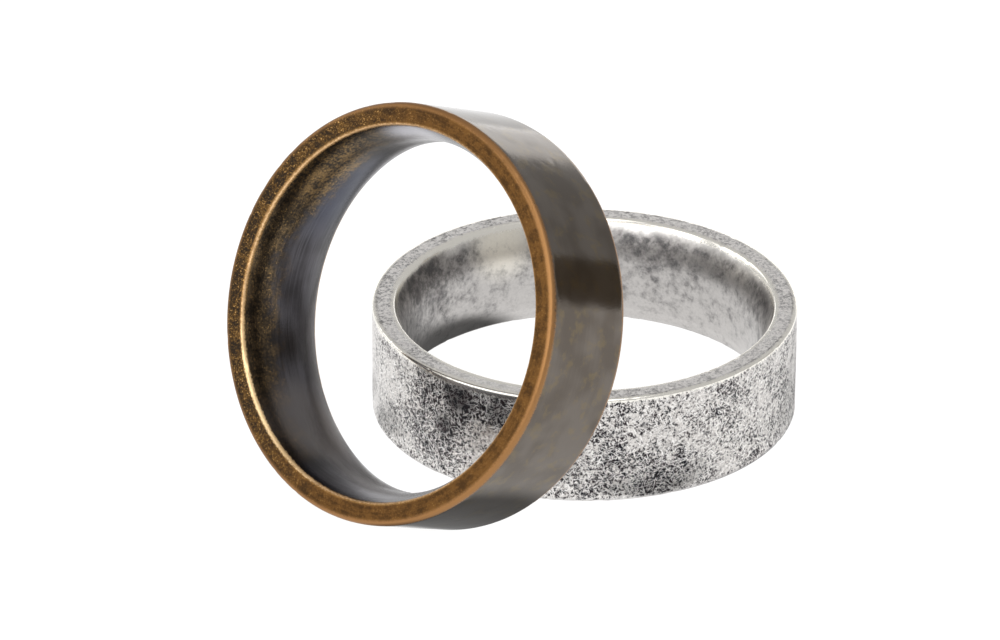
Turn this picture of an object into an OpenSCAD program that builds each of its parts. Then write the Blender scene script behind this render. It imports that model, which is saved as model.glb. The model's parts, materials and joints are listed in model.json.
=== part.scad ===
// Two plain flat band rings: one lies on its side, the other stands beside it
// and leans back over it. Each ring is a single piece of metal.
// The origin is the middle of the lying ring's bore, with +Z up.

/* [Bands] */
// Width of each band along its own axis
band_w = 6; // [5:0.1:7]
// Length of the straight middle of each bore
land_w = 1; // [0.5:0.1:2]
// Radius of the curve that carries each bore out to its ends
crown_r = 5; // [4.5:0.1:12]
// Radius of the small rounding where a bore meets an end face
lip_r = 0.15; // [0.1:0.05:0.3]

/* [Silver ring] */
// Outer diameter of the lying ring
silver_outer_d = 22.6; // [22:0.1:25]
// Bore diameter of the lying ring, at its middle
silver_bore_d = 18.9; // [17:0.1:19.5]
// Radius of the lying ring's outer edges
silver_edge_r = 0.15; // [0.05:0.05:0.4]

/* [Brass ring] */
// Outer diameter of the standing ring
brass_outer_d = 21.7; // [21:0.1:24]
// Bore diameter of the standing ring, at its middle
brass_bore_d = 18.1; // [16:0.1:18.6]
// Radius of the standing ring's outer edges
brass_edge_r = 0.3; // [0.05:0.05:0.4]

/* [Arrangement] */
// How far the standing ring's centre is to the left of the lying ring's
brass_left = 8.45; // [8:0.05:12]
// How far the standing ring's centre is in front of the lying ring's
brass_front = 11.75; // [11.5:0.05:16]
// Angle that the standing ring leans back from upright
lean = 23.8; // [10:0.2:26]
// Angle that the standing ring's front face turns to the left
turn = 43; // [35:0.5:50]

/* [Hidden] */

half_w = band_w / 2;
spill = 1;
ring_fn = 180;
edge_fn = 48;

// Height of the standing ring's centre, so that its lower back edge meets the ground
stand_h = (brass_outer_d / 2 - brass_edge_r) * cos(lean) + (half_w - brass_edge_r) * sin(lean) + brass_edge_r;

// Where the lip's arc meets the crown's arc: its angle, its height, and how far out its centre is.
// The overlap makes the two arcs cross at a small angle instead of only touching.
lip_overlap = 0.01;
lip_angle = asin((half_w - lip_r - land_w / 2) / (crown_r - lip_r));
lip_start = land_w / 2 + crown_r * sin(lip_angle);
lip_inset = crown_r - (crown_r - lip_r) * cos(lip_angle) - lip_overlap;

// The straight middle and the two curves of a bore, as the metal behind them
module crowned_wall(bore_r) {
    translate([bore_r, -land_w / 2])
        square([crown_r, land_w]);
    for (side = [-1, 1])
        translate([bore_r + crown_r, side * land_w / 2])
            circle(r = crown_r, $fn = ring_fn);
}

// What comes off the upper outer edge to round it
module outer_edge_cut(outer_r, edge_r) {
    difference() {
        translate([outer_r - edge_r, half_w - edge_r])
            square(edge_r + spill);
        translate([outer_r - edge_r, half_w - edge_r])
            circle(r = edge_r, $fn = edge_fn);
    }
}

// What comes off the upper inner edge to round it
module lip_cut(bore_r) {
    difference() {
        translate([bore_r - spill, lip_start])
            square([lip_inset + spill, half_w - lip_start + spill]);
        translate([bore_r + lip_inset, half_w - lip_r])
            circle(r = lip_r, $fn = edge_fn);
    }
}

// The outline that turns about the axis to make a band
module band_section(outer_r, bore_r, edge_r) {
    difference() {
        intersection() {
            translate([bore_r - spill, -half_w])
                square([outer_r - bore_r + spill, band_w]);
            crowned_wall(bore_r);
        }
        for (lower = [0, 1])
            mirror([0, lower]) {
                outer_edge_cut(outer_r, edge_r);
                lip_cut(bore_r);
            }
    }
}

module band(outer_d, bore_d, edge_r) {
    rotate_extrude($fn = ring_fn)
        band_section(outer_d / 2, bore_d / 2, edge_r);
}

module silver_ring() {
    color([0.66, 0.65, 0.64])
        band(silver_outer_d, silver_bore_d, silver_edge_r);
}

module brass_ring() {
    color([0.42, 0.31, 0.18])
        translate([-brass_left, -brass_front, stand_h - half_w])
            rotate([90 - lean, 0, -turn])
                band(brass_outer_d, brass_bore_d, brass_edge_r);
}

silver_ring();
brass_ring();
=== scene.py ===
"""Two loose band rings, antique silver lying flat and antique brass standing, leaning back over it."""

import json
import math
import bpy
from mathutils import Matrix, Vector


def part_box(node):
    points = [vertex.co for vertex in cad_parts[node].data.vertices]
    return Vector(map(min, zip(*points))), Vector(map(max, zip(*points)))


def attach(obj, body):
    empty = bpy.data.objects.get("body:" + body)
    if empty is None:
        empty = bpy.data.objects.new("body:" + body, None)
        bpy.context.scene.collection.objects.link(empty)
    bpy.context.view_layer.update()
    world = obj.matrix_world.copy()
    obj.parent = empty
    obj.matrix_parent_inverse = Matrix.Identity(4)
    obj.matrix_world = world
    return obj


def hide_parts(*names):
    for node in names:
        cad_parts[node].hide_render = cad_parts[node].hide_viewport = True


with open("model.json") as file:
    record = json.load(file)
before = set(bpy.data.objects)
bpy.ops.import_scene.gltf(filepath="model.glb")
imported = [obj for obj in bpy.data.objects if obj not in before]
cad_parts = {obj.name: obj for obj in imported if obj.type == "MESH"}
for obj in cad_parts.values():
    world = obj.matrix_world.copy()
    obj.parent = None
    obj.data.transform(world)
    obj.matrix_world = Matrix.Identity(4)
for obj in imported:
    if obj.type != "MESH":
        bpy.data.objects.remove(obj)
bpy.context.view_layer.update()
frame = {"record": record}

from types import SimpleNamespace

import bpy
import numpy as np
from mathutils import Matrix, Vector, noise

MM = 0.001
MOUNTS = {m["name"]: m for m in frame["record"]["mounts"]}
FLOOR_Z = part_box("silver_ring")[0][2]

# The rings' section, in millimetres, as the CAD model has it
BAND_W = 6.0
LAND_W = 1.0
CROWN_R = 5.0
LIP_R = 0.15
SILVER = {"mount": "silver_bore", "outer_r": 11.3, "edge_r": 0.15}
BRASS = {"mount": "brass_bore", "outer_r": 10.85, "edge_r": 0.3}

# How finely the bands' meshes are divided around, and where they start
AROUND = 900
START_DEGREES = 90

# How far apart the layers of scratches lie in the noise that makes them, so that no two are alike
LAYER_STEP = 3.7

# How bright the lit table looks when the metal mirrors it
TABLE_GLOW = 1.10

# Soft spots of oxide on the silver ring's wall; those at its front left, right behind the brass ring, are
# also painted shade from that ring: weight, angle, height, and the radii between which they fade
WALL_STAINS_AND_SHADE = (
    (0.26, 231, 2.0, 0.6, 2.9),
    (0.22, 245, 2.3, 0.5, 2.3),
    (0.11, 222, -1.5, 0.8, 3.6),
    (0.06, 283, -2.2, 1.0, 5.0),
    (-0.12, 182, 0.6, 1.5, 6.0),
)
# The darkest middles of the spots behind the brass ring, oxide and painted shade, where few scratches go;
# columns as above
STAIN_AND_SHADE_CORES = (
    (1.0, 234, 1.9, 0.3, 1.4),
    (0.7, 246, 1.7, 0.2, 1.1),
    (0.8, 229, 0.1, 0.2, 1.0),
)


# ---------------------------------------------------------------- camera

def make_camera():
    """A long lens that looks down on the rings along +Y."""
    elevation = math.radians(27.03)
    roll = math.radians(0.14)
    distance = 0.3757
    target = Vector((-0.00449, 0, FLOOR_Z + 0.00488))
    data = bpy.data.cameras.new("camera")
    data.lens = 254.3
    data.sensor_width = 36
    data.clip_start = 0.01
    data.clip_end = 20
    camera = bpy.data.objects.new("camera", data)
    camera.location = target + distance * Vector((0, -math.cos(elevation), math.sin(elevation)))
    camera.rotation_euler = (math.pi / 2 - elevation, 0, 0)
    camera.rotation_euler.rotate_axis("Z", roll)
    bpy.context.scene.collection.objects.link(camera)
    bpy.context.scene.camera = camera


# ---------------------------------------------------------------- shader graphs

class Graph:
    """Short calls that add nodes to a material or a world and return their output sockets."""

    def __init__(self, owner):
        owner.use_nodes = True
        self.tree = owner.node_tree
        self.tree.nodes.clear()

    def add(self, kind, inputs=(), **settings):
        node = self.tree.nodes.new(kind)
        for name, value in settings.items():
            setattr(node, name, value)
        for name, value in dict(inputs).items():
            self.plug(node.inputs[name], value)
        return node

    def plug(self, socket, value):
        """Links a socket, or sets it to a constant."""
        if isinstance(value, bpy.types.NodeSocket):
            self.tree.links.new(value, socket)
        else:
            socket.default_value = value

    def attribute(self, name, output="Fac"):
        return self.add("ShaderNodeAttribute", attribute_name=name).outputs[output]

    def noise(self, at, scale, detail, roughness):
        inputs = {"Vector": at, "Scale": scale, "Detail": detail, "Roughness": roughness}
        return self.add("ShaderNodeTexNoise", inputs).outputs["Fac"]

    def near(self, at, point, inner, outer):
        """1 within inner of a point, falling to 0 at outer."""
        gap = self.add("ShaderNodeVectorMath", operation="DISTANCE")
        self.plug(gap.inputs[0], at)
        self.plug(gap.inputs[1], point)
        return self.fall(gap.outputs["Value"], inner, outer)

    def math(self, operation, a, b, clamp=False):
        node = self.add("ShaderNodeMath", operation=operation, use_clamp=clamp)
        self.plug(node.inputs[0], a)
        self.plug(node.inputs[1], b)
        return node.outputs[0]

    def product(self, first, *others):
        """The values multiplied together."""
        result = first
        for value in others:
            result = self.math("MULTIPLY", result, value)
        return result

    def most(self, first, *others):
        """The largest of the values."""
        result = first
        for value in others:
            result = self.math("MAXIMUM", result, value)
        return result

    def total(self, *terms):
        """The sum of (weight, socket) pairs."""
        result = None
        for weight, socket in terms:
            part = self.product(socket, weight)
            result = part if result is None else self.math("ADD", result, part)
        return result

    def rest(self, share):
        """What a share leaves of 1."""
        return self.math("SUBTRACT", 1.0, share)

    def rise(self, value, low, high):
        """0 below low, 1 above high and smooth between."""
        inputs = {"Value": value, "From Min": low, "From Max": high}
        node = self.add("ShaderNodeMapRange", inputs, interpolation_type="SMOOTHSTEP")
        return node.outputs["Result"]

    def fall(self, value, low, high):
        """1 below low, 0 above high and smooth between."""
        return self.rest(self.rise(value, low, high))

    def between(self, value, at_0, at_1):
        """Carries 0..1 over to at_0..at_1."""
        inputs = {"Value": value, "To Min": at_0, "To Max": at_1}
        return self.add("ShaderNodeMapRange", inputs).outputs["Result"]

    def paint(self, under, over, share):
        """Colour over on colour under, as far as share says."""
        node = self.add("ShaderNodeMix", data_type="RGBA")
        self.plug(node.inputs["Factor"], share)
        for index, colour in ((6, under), (7, over)):
            if isinstance(colour, tuple):
                colour = (*colour, 1.0)
            self.plug(node.inputs[index], colour)
        return node.outputs[2]

    def level(self, under, over, share):
        """Number over on number under, as far as share says."""
        node = self.add("ShaderNodeMix", data_type="FLOAT")
        self.plug(node.inputs["Factor"], share)
        self.plug(node.inputs[2], under)
        self.plug(node.inputs[3], over)
        return node.outputs[0]


class Finish(Graph):
    """A band's material, with the places, masks and distances in millimetres that its mesh carries."""

    def __init__(self, name):
        self.material = bpy.data.materials.new(name)
        super().__init__(self.material)
        self.at = self.attribute("band_mm", "Vector")
        self.flat = self.attribute("wrap_mm", "Vector")
        self.bore = self.attribute("bore")
        self.face = self.attribute("face")
        self.edge = self.attribute("edge_mm")
        self.lip = self.attribute("lip_mm")
        self.x, self.y, self.z = self.add("ShaderNodeSeparateXYZ", {"Vector": self.at}).outputs

    def by_side(self, wall, face, bore):
        """A number for each of the band's three sides."""
        return self.level(self.level(wall, face, self.face), bore, self.bore)

    def spot(self, radius, degrees, z, inner, outer):
        """A soft spot on the band; 0 degrees is its right and 90 its top or back."""
        a = math.radians(degrees)
        return self.near(self.at, (radius * math.cos(a), radius * math.sin(a), z), inner, outer)

    def spots(self, radius, places):
        """The sum of the soft spots in a table of places."""
        return self.total(*((weight, self.spot(radius, *place)) for weight, *place in places))

    def hoops(self, at, along, across, roughness):
        """Noise that runs around the band, as turning and polishing leave it."""
        squeezed = self.add("ShaderNodeMapping", {"Vector": at, "Scale": (1 / along, 1 / along, 1 / across)})
        return self.noise(squeezed.outputs[0], 1.0, 2.0, roughness)

    def strokes(self, angles, along, across, first_layer, low, high):
        """Short scratches at several angles, each from its own layer of stretched noise."""
        layers = []
        for k, angle in enumerate(angles):
            turn = self.add("ShaderNodeMapping", {
                "Vector": self.flat,
                "Rotation": (0, 0, math.radians(angle)),
            })
            stretch = self.add("ShaderNodeMapping", {
                "Vector": turn.outputs[0],
                "Location": (0, 0, first_layer + LAYER_STEP * k),
                "Scale": (1 / along, 1 / across, 1),
            })
            layers.append(self.rise(self.noise(stretch.outputs[0], 1.0, 1.0, 0.5), low, high))
        return self.most(*layers)

    def metal(self, colour, roughness, height, depth_mm):
        """Ends the graph in bare metal, with its height as a bump depth_mm deep."""
        bump = self.add("ShaderNodeBump", {"Height": height, "Distance": depth_mm * MM})
        inputs = {"Base Color": colour, "Metallic": 1.0, "Roughness": roughness, "Normal": bump.outputs[0]}
        shader = self.add("ShaderNodeBsdfPrincipled", inputs)
        self.add("ShaderNodeOutputMaterial", {"Surface": shader.outputs[0]})
        return self.material


# ---------------------------------------------------------------- antique silver

def silver_speckle(g):
    """The noises that the silver's layers share, from fine to coarse, and its larger marks, some of them
    painted shade.
    """
    return SimpleNamespace(
        grain=g.noise(g.at, 6.2, 2.0, 0.75),
        tuft=g.noise(g.at, 2.4, 3.0, 0.6),
        cloud=g.noise(g.at, 1.1, 3.0, 0.6),
        blotch=g.noise(g.at, 0.35, 2.0, 0.5),
        # The wall's oxide spots, which behind the brass ring are partly painted shade, and their cores
        stains_and_shade=g.spots(SILVER["outer_r"], WALL_STAINS_AND_SHADE),
        cores=g.spots(SILVER["outer_r"], STAIN_AND_SHADE_CORES),
        brushed=g.spot(10.6, 243, 3.0, 1.5, 5.0),
        rubbed=g.spot(9.6, 117, 2.1, 0.5, 2.6),
        # Painted shade on the bore's left side, near its top
        shaded=g.spot(9.6, 160, 2.4, 1.5, 5.5),
        under=g.fall(g.z, -3.0, 0.0))


def silver_rim(g, m):
    """Where the bore is away from its bright, worn end, and where painted shade darkens its left side near
    the top.
    """
    rim = g.rise(g.total((1.0, g.lip), (0.4, m.cloud), (0.35, m.shaded)), 0.30, 1.10)
    return g.most(rim, m.under)


def silver_oxide(g, m, rim):
    """How much black oxide lies on each side of the band; on the wall behind the brass ring and on the
    bore's left near its top it is partly painted shade.
    """
    depth = g.total((1.0, m.grain), (0.5, m.cloud), (0.35, m.blotch), (1.0, m.stains_and_shade), (0.20, m.cores))
    on_wall = g.rise(depth, 0.91, 1.03)
    left = g.fall(g.x, -11.0, 8.0)
    depth = g.total((0.7, m.grain), (0.35, m.tuft), (0.4, m.cloud), (0.35, m.blotch))
    on_face = g.product(g.rise(depth, 0.87, 1.06), g.between(left, 0.38, 0.60),
                        g.between(m.brushed, 1.0, 0.35))
    depth = g.total((0.25, m.grain), (0.6, m.tuft), (0.6, m.cloud), (0.4, m.blotch), (0.052, g.z),
                    (-0.25, m.rubbed), (0.09, m.shaded))
    in_bore = g.product(g.rise(depth, 0.80, 1.28), rim, 0.80)
    return g.by_side(on_wall, on_face, in_bore)


def silver_scratches(g, m):
    """Fine scratches all over, and wider cuts through the wall's oxide spots and painted shade; the spots'
    cores have few.
    """
    spared = g.rest(g.product(m.cores, 0.75))
    fine = g.strokes(range(14, 194, 30), 0.40, 0.060, 0.0, 0.62, 0.71)
    fine = g.product(fine, g.product(g.by_side(0.95, 0.5, 0.05), spared))
    cuts = g.strokes(range(32, 197, 55), 0.42, 0.10, 31.0, 0.64, 0.69)
    in_stain_and_shade = g.math("SUBTRACT", g.rise(m.stains_and_shade, 0.04, 0.20), g.most(g.face, g.bore), clamp=True)
    return g.most(fine, g.product(cuts, g.product(in_stain_and_shade, spared)))


def silver_worn(g, m):
    """Where the edges and the bore's lips are worn bright."""
    ragged = g.total((0.40, m.grain), (0.16, m.cloud), (0.04, m.under), (-0.16, m.brushed))
    on_edge = g.fall(g.math("ADD", g.edge, ragged), 0.36, 0.54)
    on_lip = g.fall(g.math("ADD", g.lip, ragged), 0.42, 0.62)
    return g.most(on_edge, g.product(on_lip, g.between(m.under, 1.0, 0.2)))


def silver_ground(g, m, rim):
    """The bare metal's colour on each side of the band."""
    mixed = g.rise(g.total((0.7, m.grain), (0.3, m.cloud)), 0.40, 0.60)
    on_wall = g.paint((0.68, 0.65, 0.625), (0.31, 0.298, 0.292), mixed)
    mixed = g.rise(g.total((0.75, m.grain), (0.25, m.tuft)), 0.40, 0.60)
    on_face = g.paint((0.97, 0.945, 0.925), (0.64, 0.62, 0.615), mixed)
    on_face = g.paint(on_face, (0.97, 0.95, 0.925), g.product(m.brushed, 0.5))
    in_bore = g.paint((0.84, 0.82, 0.79), (0.50, 0.482, 0.468), rim)
    in_bore = g.paint(in_bore, (0.98, 0.93, 0.81), g.product(m.rubbed, 0.85))
    ground = g.paint(on_wall, on_face, g.product(g.face, 0.85))
    return g.paint(ground, in_bore, g.product(g.bore, 0.9))


def silver_groove(g, m):
    """The broken dark line on the end faces, just inside the outer edge."""
    beside_edge = g.product(g.rise(g.edge, 0.12, 0.18), g.fall(g.edge, 0.22, 0.30))
    return g.product(beside_edge, g.face, g.between(g.rise(m.cloud, 0.44, 0.56), 0.15, 0.75))


def antique_silver():
    """Tumbled silver: short bright scratches over grey metal, with black oxide in the low places. Part of
    the dark is painted shade: on the wall behind the brass ring, on the bore's left near its top, and on the
    bottom edge towards the right.
    """
    g = Finish("antique_silver")
    m = silver_speckle(g)
    rim = silver_rim(g, m)
    oxide = silver_oxide(g, m, rim)
    scratched = silver_scratches(g, m)
    worn = silver_worn(g, m)

    black = g.paint((0.044, 0.034, 0.038), (0.022, 0.023, 0.028), g.rise(m.tuft, 0.40, 0.60))
    colour = g.paint(silver_ground(g, m, rim), black, oxide)
    colour = g.paint(colour, (0.20, 0.19, 0.185), silver_groove(g, m))
    colour = g.paint(colour, (0.94, 0.92, 0.90), scratched)
    # Along the bottom the worn edge is painted grey, darkening to the right: painted shade where the edge
    # meets the table
    bottom_edge_shade = g.paint((0.66, 0.645, 0.635), (0.30, 0.292, 0.29), g.rise(g.x, 3.0, 9.0))
    colour = g.paint(colour, g.paint((0.95, 0.925, 0.86), bottom_edge_shade, m.under), worn)

    roughness = g.level(g.level(0.30, 0.42, oxide), 0.22, worn)
    height = g.total((0.5, scratched), (0.6, m.grain), (-0.4, oxide))
    return g.metal(colour, roughness, g.product(height, g.rest(worn)), 0.010)


# ---------------------------------------------------------------- antique brass

def brass_speckle(g):
    """The noises and flecks that the brass's layers share; coarse is 1 at the band's left."""
    m = SimpleNamespace(
        grain=g.noise(g.at, 7.0, 2.0, 0.7),
        speck=g.noise(g.at, 15.0, 1.0, 0.5),
        cloud=g.noise(g.at, 1.3, 3.0, 0.6),
        blotch=g.noise(g.at, 0.4, 2.0, 0.5),
        drawn=g.hoops(g.at, 5.0, 0.16, 0.5),
        thread=g.hoops(g.at, 2.5, 0.07, 0.6),
        coarse=g.fall(g.x, -9.0, 1.5))
    m.fleck = g.rise(g.total((0.6, m.speck), (0.4, m.grain)), 0.57, 0.66)
    m.fleck_share = g.product(g.between(m.coarse, 0.12, 0.85),
                              g.between(g.rise(m.cloud, 0.42, 0.58), 0.35, 1.0))
    return m


def brass_wall(g, m):
    """Satin brown patina with faint golden clouds."""
    mixed = g.rise(g.total((0.08, m.drawn), (0.92, m.blotch)), 0.38, 0.62)
    patina = g.paint((0.118, 0.100, 0.084), (0.160, 0.140, 0.122), mixed)
    mottle = g.rise(g.total((0.85, m.cloud), (0.15, m.grain)), 0.50, 0.66)
    return g.paint(patina, (0.215, 0.165, 0.085), g.product(mottle, 0.38))


def brass_end(g, m):
    """The end faces: dark with golden flecks at the left, smoother and browner at the right."""
    folded = g.add("ShaderNodeCombineXYZ", {"X": g.x, "Y": g.y, "Z": g.edge}).outputs[0]
    streak = g.hoops(folded, 2.6, 0.14, 0.6)
    mixed = g.rise(g.total((0.45, m.cloud), (0.55, m.grain)), 0.42, 0.62)
    coarse_end = g.paint((0.036, 0.026, 0.018), (0.150, 0.080, 0.026), mixed)
    mixed = g.rise(g.total((0.5, m.cloud), (0.22, streak), (0.28, m.grain)), 0.38, 0.60)
    smooth_end = g.paint((0.080, 0.040, 0.015), (0.185, 0.088, 0.026), mixed)
    end = g.paint(smooth_end, coarse_end, m.coarse)
    return g.paint(end, (0.98, 0.58, 0.21), g.product(m.fleck, m.fleck_share))


def brass_brown_zone(g, m):
    """The brown and golden colour near the bore's front."""
    mixed = g.rise(g.total((0.4, m.cloud), (0.4, m.grain), (0.2, m.thread)), 0.42, 0.60)
    brown = g.paint((0.042, 0.033, 0.024), (0.145, 0.103, 0.060), mixed)
    brown = g.paint(brown, (0.90, 0.55, 0.18), g.product(m.fleck, g.product(m.fleck_share, 0.42)))
    mixed = g.rise(g.total((0.6, m.grain), (0.4, m.cloud)), 0.44, 0.58)
    golden = g.product(g.spot(9.3, 142, 1.5, 1.2, 3.6), mixed)
    return g.paint(brown, (0.29, 0.18, 0.070), g.product(golden, 0.55))


def brass_inside(g, m):
    """The bore: dark and drawn around, brown near its front, with painted reflections: bluish at the upper
    left, pale grey low on the left and pale lavender at the top.
    """
    mixed = g.rise(g.total((0.25, m.drawn), (0.3, m.thread), (0.45, m.blotch)), 0.36, 0.64)
    deep = g.paint((0.034, 0.032, 0.033), (0.105, 0.100, 0.112), mixed)
    # A painted bluish reflection on the bore's upper left
    blue_reflection = g.spot(9.05, 150, -1.0, 1.2, 4.2)
    deep = g.paint(deep, (0.066, 0.076, 0.112), g.product(blue_reflection, 0.6))
    widened = g.spot(9.1, 146, 1.2, 1.0, 5.0)
    rim = g.rise(g.total((1.0, g.z), (2.6, m.cloud), (1.1, widened)), 1.7, 3.3)
    inside = g.paint(deep, brass_brown_zone(g, m), g.product(rim, g.fall(g.x, -5.0, -2.2)))
    # A painted pale grey reflection low on the bore's left
    grey_reflection = g.spot(9.1, 236, 0.2, 1.4, 3.4)
    inside = g.paint(inside, (0.17, 0.155, 0.152), g.product(grey_reflection, 0.7))
    # A painted pale lavender reflection at the top of the bore, near its front
    pale_top_reflection = g.spot(9.1, 103, 2.1, 0.6, 2.6)
    return g.paint(inside, (0.55, 0.54, 0.58), g.product(pale_top_reflection, 0.75))


def antique_brass():
    """Dark brown patina on brass, rubbed back to gold on the edges and to satin on the outside."""
    g = Finish("antique_brass")
    m = brass_speckle(g)
    ragged = g.total((0.20, m.grain), (0.14, m.speck))
    worn_edge = g.fall(g.math("ADD", g.edge, ragged), 0.26, 0.48)
    worn_lip = g.fall(g.math("ADD", g.lip, ragged), 0.20, 0.36)
    rubbed = g.spot(9.8, 229, 3.0, 2.6, 7.5)
    bright_lip = g.fall(g.total((1.0, g.lip), (1.0, ragged), (-0.08, rubbed)), 0.15, 0.27)
    mixed = g.rise(g.total((0.5, m.blotch), (0.3, m.cloud), (0.2, m.speck)), 0.42, 0.56)
    shine = g.between(mixed, 0.65, 1.0)

    colour = g.paint(brass_wall(g, m), brass_end(g, m), g.face)
    colour = g.paint(colour, brass_inside(g, m), g.bore)
    colour = g.paint(colour, (0.37, 0.190, 0.074), g.product(worn_edge, g.between(m.coarse, 0.92, 0.5)))
    colour = g.paint(colour, (0.50, 0.28, 0.105), g.product(worn_lip, 0.85))
    gold = g.paint((0.98, 0.66, 0.36), (1.0, 0.74, 0.42), rubbed)
    colour = g.paint(colour, gold, g.product(bright_lip, shine))

    roughness = g.level(g.by_side(0.10, 0.40, 0.24), 0.42, g.most(worn_edge, worn_lip))
    tooth = g.product(g.total((1.0, m.grain), (0.6, m.speck)), g.by_side(0.25, 1.0, 0.8))
    return g.metal(colour, roughness, tooth, 0.006)


# ---------------------------------------------------------------- rings

def arc(centre, radius, start, end, steps):
    """Points and normals along an arc of the section, without its last point; angles in degrees."""
    for k in range(steps):
        a = math.radians(start + (end - start) * k / steps)
        yield centre[0] + radius * math.cos(a), centre[1] + radius * math.sin(a), math.cos(a), math.sin(a)


def line(start, end, normal, steps):
    """Points and normals along a straight of the section, without its last point."""
    for k in range(steps):
        t = k / steps
        yield start[0] + (end[0] - start[0]) * t, start[1] + (end[1] - start[1]) * t, *normal


def section(outer_r, bore_r, edge_r):
    """The closed outline of a band, as rows of r, z and normal, with the name of each row's stretch."""
    half = BAND_W / 2
    angle = math.degrees(math.asin((half - LIP_R - LAND_W / 2) / (CROWN_R - LIP_R)))
    lip_at = bore_r + CROWN_R - (CROWN_R - LIP_R) * math.cos(math.radians(angle))
    crown_at = bore_r + CROWN_R
    flat_at = outer_r - edge_r
    stretches = [
        ("wall", line((outer_r, edge_r - half), (outer_r, half - edge_r), (1, 0), 36)),
        ("edge", arc((flat_at, half - edge_r), edge_r, 0, 90, 7)),
        ("face", line((flat_at, half), (lip_at, half), (0, 1), 9)),
        ("lip", arc((lip_at, half - LIP_R), LIP_R, 90, 180 - angle, 5)),
        ("bore", arc((crown_at, LAND_W / 2), CROWN_R, 180 - angle, 180, 14)),
        ("bore", line((bore_r, LAND_W / 2), (bore_r, -LAND_W / 2), (-1, 0), 5)),
        ("bore", arc((crown_at, -LAND_W / 2), CROWN_R, 180, 180 + angle, 14)),
        ("lip", arc((lip_at, LIP_R - half), LIP_R, 180 + angle, 270, 5)),
        ("face", line((lip_at, -half), (flat_at, -half), (0, -1), 9)),
        ("edge", arc((flat_at, edge_r - half), edge_r, 270, 360, 7)),
    ]
    rows, names = [], []
    for name, points in stretches:
        for row in points:
            rows.append(row)
            names.append(name)
    return np.array(rows), names


def store(mesh, name, kind, domain, values):
    """Adds values to a mesh as an attribute that a material can read."""
    layer = mesh.attributes.new(name, kind, domain)
    layer.data.foreach_set("value" if kind == "FLOAT" else "vector", np.ravel(values).astype(np.float32))


def gap_to(rows, r, z):
    """How far each row is from the place r, z of the section, or from its twin at -z."""
    return np.hypot(rows[:, 0] - r, np.abs(rows[:, 1]) - z)


def unrolled(rows, middle_r, i, j):
    """Flat coordinates of each quad's corners: the way around the band and along its section."""
    step = np.linalg.norm(np.roll(rows[:, :2], -1, axis=0) - rows[:, :2], axis=1)
    reach = np.concatenate([[0], np.cumsum(step)])
    turns = np.arange(AROUND + 1) * 2 * math.pi / AROUND * middle_r
    places = ((i, j), (i + 1, j), (i + 1, j + 1), (i, j + 1))
    corners = np.stack([np.stack([turns[a], reach[b]], -1) for a, b in places], 2).reshape(-1, 2)
    return np.column_stack([corners, np.zeros(len(corners))])


def mark(mesh, rows, names, outer_r, edge_r):
    """Stores which side each point is on, and how far it is from the outer edge and the bore's lip."""
    corner = edge_r * (1 - math.sqrt(0.5))
    lip_end = next(row for row, name in zip(rows, names) if name == "bore")
    outward = np.abs(rows[:, 2])
    upward = np.abs(rows[:, 3])
    names = np.array(names)
    rounded = np.isin(names, ("edge", "lip"))
    marks = {
        "edge_mm": gap_to(rows, outer_r - corner, BAND_W / 2 - corner),
        "lip_mm": gap_to(rows, lip_end[0], lip_end[1]),
        "bore": (names == "bore") | ((names == "lip") & (outward > upward)),
        "face": (names == "face") | (rounded & (upward >= outward)),
    }
    for name, values in marks.items():
        store(mesh, name, "FLOAT", "POINT", np.tile(values, AROUND))


def placed(points, bore):
    """Carries points from a band's own millimetres to the place of its bore in the frame."""
    axis = Vector(bore["axis"])
    lies_flat = abs(axis.z) > 0.999
    right = Vector((1, 0, 0)) if lies_flat else Vector((0, 0, 1)).cross(axis).normalized()
    turn = Matrix((right, axis.cross(right), axis)).transposed()
    return points @ np.array(turn).T * MM + np.array(bore["pos_m"])


def band(name, mount, outer_r, edge_r, wear, material):
    """A worn band as one closed mesh, with the coordinates that its material reads."""
    bore = MOUNTS[mount]
    bore_r = bore["dims"]["r_mm"]
    rows, names = section(outer_r, bore_r, edge_r)
    along = len(rows)
    theta = math.radians(START_DEGREES) + np.arange(AROUND) * 2 * math.pi / AROUND
    c, s = np.cos(theta)[:, None], np.sin(theta)[:, None]
    r, z, nr, nz = rows.T
    flat = np.stack([c * r, s * r, np.broadcast_to(z, (AROUND, along))], -1).reshape(-1, 3)
    normal = np.stack([c * nr, s * nr, np.broadcast_to(nz, (AROUND, along))], -1).reshape(-1, 3)
    dent = np.array([wear(Vector(p), kind) for p, kind in zip(flat, names * AROUND)])
    world = placed(flat - normal * dent[:, None], bore)

    i, j = np.meshgrid(np.arange(AROUND), np.arange(along), indexing="ij")
    i2, j2 = (i + 1) % AROUND, (j + 1) % along
    quads = np.stack([i * along + j, i2 * along + j, i2 * along + j2, i * along + j2], -1).reshape(-1, 4)
    mesh = bpy.data.meshes.new(name)
    mesh.from_pydata(world.tolist(), [], quads.tolist())
    mesh.shade_smooth()
    store(mesh, "band_mm", "FLOAT_VECTOR", "POINT", flat)
    store(mesh, "wrap_mm", "FLOAT_VECTOR", "CORNER", unrolled(rows, (outer_r + bore_r) / 2, i, j))
    mark(mesh, rows, names, outer_r, edge_r)
    mesh.materials.append(material)
    piece = bpy.data.objects.new(name, mesh)
    bpy.context.scene.collection.objects.link(piece)
    return piece


def silver_wear(p, kind):
    """How deep the silver ring is worn at p, in millimetres."""
    soft = noise.noise(p * 0.7) * 0.008
    knocks = max(0.0, noise.noise(p * 1.9 + Vector((7, 3, 1))) - 0.25) * 0.06
    if kind in ("edge", "lip"):
        return 0.012 + soft + knocks
    return 0.008 + soft + knocks * 0.35


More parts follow.
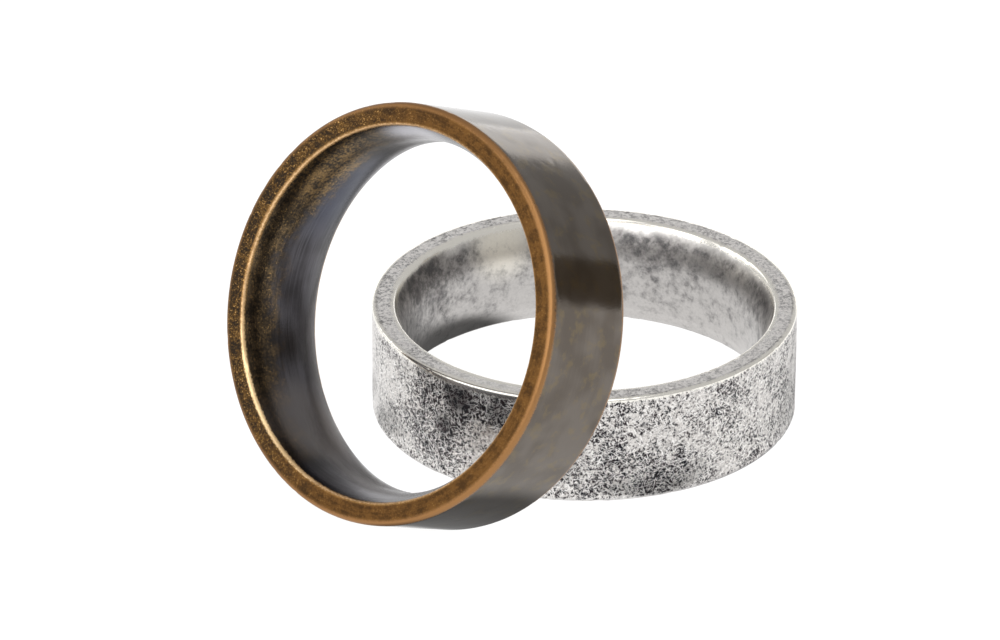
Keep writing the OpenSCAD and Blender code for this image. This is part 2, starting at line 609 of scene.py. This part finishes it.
def brass_wear(p, kind):
    """How deep the brass ring is worn at p, in millimetres."""
    soft = noise.noise(p * 0.5 + Vector((2, 9, 4))) * 0.006
    knocks = max(0.0, noise.noise(p * 1.7) - 0.3) * 0.04
    if kind in ("edge", "lip"):
        return 0.01 + soft + knocks
    return 0.006 + soft + knocks * 0.2


def rings():
    lying = band("silver_band", **SILVER, wear=silver_wear, material=antique_silver())
    standing = band("brass_band", **BRASS, wear=brass_wear, material=antique_brass())
    for piece, node, body, slot in ((lying, "silver_ring", "silver", "antique_silver"),
                                    (standing, "brass_ring", "brass", "antique_brass")):
        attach(piece, body)
        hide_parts(node)


# ---------------------------------------------------------------- studio

def softbox(name, azimuth, elevation, distance, size, brightness):
    """A rectangular light that faces the rings; azimuth 0 is the camera's side and 90 its right."""
    data = bpy.data.lights.new(name, "AREA")
    data.shape = "RECTANGLE"
    data.size, data.size_y = size
    data.energy = brightness * math.pi * size[0] * size[1]
    light = bpy.data.objects.new(name, data)
    light.visible_camera = False
    a, e = math.radians(azimuth), math.radians(elevation)
    away = Vector((math.sin(a) * math.cos(e), -math.cos(a) * math.cos(e), math.sin(e)))
    light.location = away * distance
    light.rotation_euler = away.to_track_quat("Z", "Y").to_euler()
    bpy.context.scene.collection.objects.link(light)


def plane(name, place, width, depth):
    """A flat sheet of the studio's, with an empty material of the same name; returns both."""
    mesh = bpy.data.meshes.new(name)
    x, y = width / 2, depth / 2
    mesh.from_pydata([(-x, -y, 0), (x, -y, 0), (x, y, 0), (-x, y, 0)], [], [(0, 1, 2, 3)])
    sheet = bpy.data.objects.new(name, mesh)
    sheet.matrix_world = place
    bpy.context.scene.collection.objects.link(sheet)
    material = bpy.data.materials.new(name)
    mesh.materials.append(material)
    return sheet, Graph(material)


def mirrored(name, place, width, depth):
    """A sheet that only shows as a reflection in the metal; returns its material's graph."""
    sheet, g = plane(name, place, width, depth)
    sheet.visible_camera = False
    sheet.visible_diffuse = False
    sheet.visible_shadow = False
    return g


def glow(g, colour):
    """Ends a graph in plain light."""
    light = g.add("ShaderNodeEmission", {"Color": colour})
    g.add("ShaderNodeOutputMaterial", {"Surface": light.outputs[0]})


def card(name, azimuth, distance, middle, width, height, colour):
    """An upright sheet that faces the rings, seen only in the metal; azimuth as for the lights."""
    a = math.radians(azimuth)
    place = Matrix.Translation((math.sin(a) * distance, -math.cos(a) * distance, FLOOR_Z + middle))
    upright = Matrix.Rotation(a, 4, "Z") @ Matrix.Rotation(math.radians(90), 4, "X")
    glow(mirrored(name, place @ upright, width, height), (*colour, 1))


def pool(name, x, y, degrees, width, depth, brightness):
    """A soft oval of shade on the table, seen only in the metal; millimetres."""
    place = Matrix.Translation((x * MM, y * MM, FLOOR_Z + 0.1 * MM))
    turn = Matrix.Rotation(math.radians(degrees), 4, "Z")
    g = mirrored(name, place @ turn, width * MM, depth * MM)
    spot = g.add("ShaderNodeTexCoord").outputs["Generated"]
    out = g.rest(g.near(spot, (0.5, 0.5, 0.5), 0.26, 0.5))
    glow(g, g.paint((brightness,) * 3, (TABLE_GLOW,) * 3, out))


def table():
    """A white table that glows a little, so that it looks evenly lit."""
    g = plane("floor", Matrix.Translation((0, 0, FLOOR_Z)), 4, 4)[1]
    inputs = {"Base Color": (0.15, 0.15, 0.15, 1), "Roughness": 0.9, "Specular IOR Level": 0.1,
              "Emission Color": (1, 1, 1, 1), "Emission Strength": 0.97}
    shader = g.add("ShaderNodeBsdfPrincipled", inputs)
    g.add("ShaderNodeOutputMaterial", {"Surface": shader.outputs[0]})


def studio():
    """A white table under soft light, with a dark sheet and pools of shade beside it that show only as
    painted reflections in the metal.
    """
    table()
    softbox("overhead", 0, 66, 0.25, (0.16, 0.20), 1.3)
    softbox("front", -4, 40, 0.50, (0.22, 0.20), 1.5)
    softbox("front_left", -42, 26, 0.30, (0.36, 0.15), 1.8)
    softbox("back_left", -115, 24, 0.30, (0.24, 0.12), 1.2)
    softbox("back", 178, 7, 0.50, (0.55, 0.12), 1.0)
    # A dark sheet seen only in the metal: the painted dark reflection across the brass ring's wall
    card("dark_reflection_card", 105.5, 0.20, 0.026, 0.0455, 0.052, (0.22, 0.185, 0.145))
    pool("shade_under_brass", -6.5, -17.1, 23, 17.0, 7.5, 0.25)
    pool("shade_right", 13.2, 2.5, 72, 18.0, 5.2, 0.70)
    pool("shade_inside", -8.0, 6.2, 50, 17.0, 4.8, 0.12)
    pool("shade_front", 4.5, -11.6, 20, 11.0, 2.8, 0.33)
    pool("shade_left", -12.0, -2.8, 105, 7.5, 2.2, 0.55)

    world = bpy.data.worlds.new("studio")
    g = Graph(world)
    sky = g.add("ShaderNodeBackground", {"Color": (1.0, 0.99, 0.98, 1), "Strength": 0.54})
    g.add("ShaderNodeOutputWorld", {"Surface": sky.outputs[0]})
    bpy.context.scene.world = world
    bpy.context.scene.view_settings.view_transform = "Standard"


make_camera()
studio()
rings()
